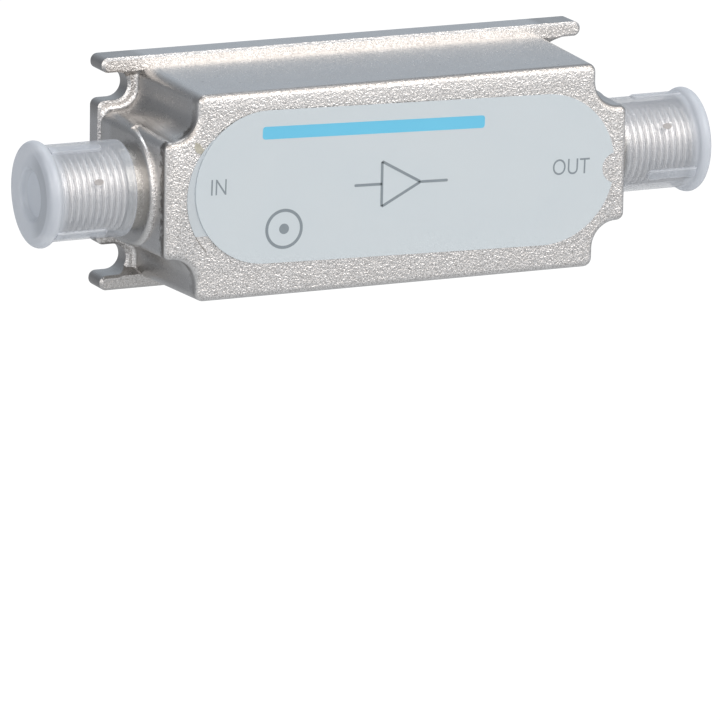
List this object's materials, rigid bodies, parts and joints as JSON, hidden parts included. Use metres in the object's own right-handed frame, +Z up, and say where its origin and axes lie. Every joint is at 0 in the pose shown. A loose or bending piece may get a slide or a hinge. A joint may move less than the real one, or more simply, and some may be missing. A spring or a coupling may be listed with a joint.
{
  "type": "inline tv signal amplifier",
  "caption": "Small die-cast in-line coaxial signal amplifier with a screw flange, two threaded ports and push-on dust caps.",
  "frame": {"origin": "centre of the flange's back face, which lies on the wall", "axes": "+Y points into the wall, +Z up, +X along the signal path from the input port to the output port"},
  "size_m": [0.0824, 0.0188, 0.0268],
  "materials": {
    "casting": "grainy nickel-plated zinc casting",
    "cap": "milky translucent polyethylene",
    "label": "matt printed film",
    "old_label": "matt film",
    "cover": "rolled sheet",
    "foam": "soft foam",
    "laminate": "solder-masked glass laminate",
    "steel": "zinc-plated",
    "insulator": "moulded",
    "contact": "tinned bronze",
    "solder": "bright solder",
    "package": "moulded resin",
    "ferrite": "sintered",
    "winding": "enamelled copper",
    "chip_capacitor": "fired",
    "chip_resistor": "glazed",
    "can": "drawn"
  },
  "bodies": {
    "amplifier": {"housing": "casting", "label": "label", "label_backing": "old_label", "rear_cover": "cover", "absorber_pad": "foam", "circuit_board": "laminate", "board_screws": "steel", "input_insulator": "insulator", "output_insulator": "insulator", "input_contact": "contact", "output_contact": "contact", "contact_solder": "solder", "first_stage_chip": "package", "second_stage_chip": "package", "input_choke_core": "ferrite", "input_choke_winding": "winding", "output_choke_core": "ferrite", "output_choke_winding": "winding", "coupling_capacitors": "chip_capacitor", "bypass_capacitors": "chip_capacitor", "bias_resistors": "chip_resistor", "supply_capacitor": "can", "voltage_regulator": "package", "clamp_diode": "package", "slope_coil": "winding"},
    "input_dust_cap": {"input_cap": "cap"},
    "output_dust_cap": {"output_cap": "cap"}
  },
  "joints": [
    {"name": "input_cap_slide", "type": "slide", "parent": "amplifier", "child": "input_dust_cap", "axis": [-1, 0, 0], "range_m": [0, 0.014]},
    {"name": "output_cap_slide", "type": "slide", "parent": "amplifier", "child": "output_dust_cap", "axis": [1, 0, 0], "range_m": [0, 0.014]}
  ]
}
